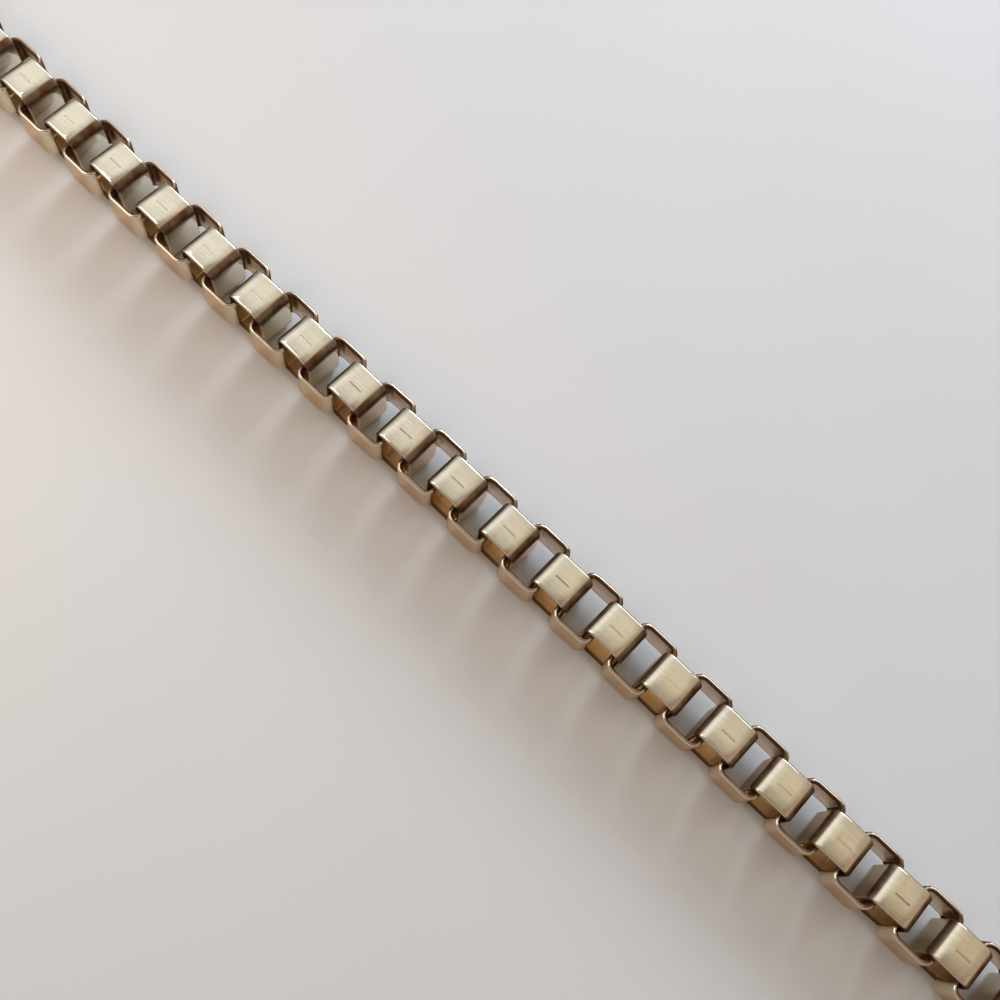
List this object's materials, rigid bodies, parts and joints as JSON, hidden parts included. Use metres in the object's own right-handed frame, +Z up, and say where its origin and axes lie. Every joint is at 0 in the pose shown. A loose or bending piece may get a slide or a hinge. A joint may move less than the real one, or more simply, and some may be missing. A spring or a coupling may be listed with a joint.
{
  "type": "box chain necklace",
  "caption": "Closed necklace of square links bent from flat gold-tone strip, each turned a quarter turn from the last, lying in a long loop with a plain box clasp.",
  "frame": {"origin": "middle of the loop's footprint, on the surface that the necklace lies on", "axes": "+X along the two straight runs, +Y from the run with the clasp towards the plain run, +Z up"},
  "size_m": [0.1788, 0.09, 0.0035],
  "materials": {
    "gold_tone_links": "polished pale gold plating with fine grain lines along the strip",
    "gold_tone_clasp": "polished pale gold plating"
  },
  "bodies": {
    "root": {"right_links": "gold_tone_links", "left_links": "gold_tone_links", "clasp": "gold_tone_clasp"}
  },
  "joints": []
}
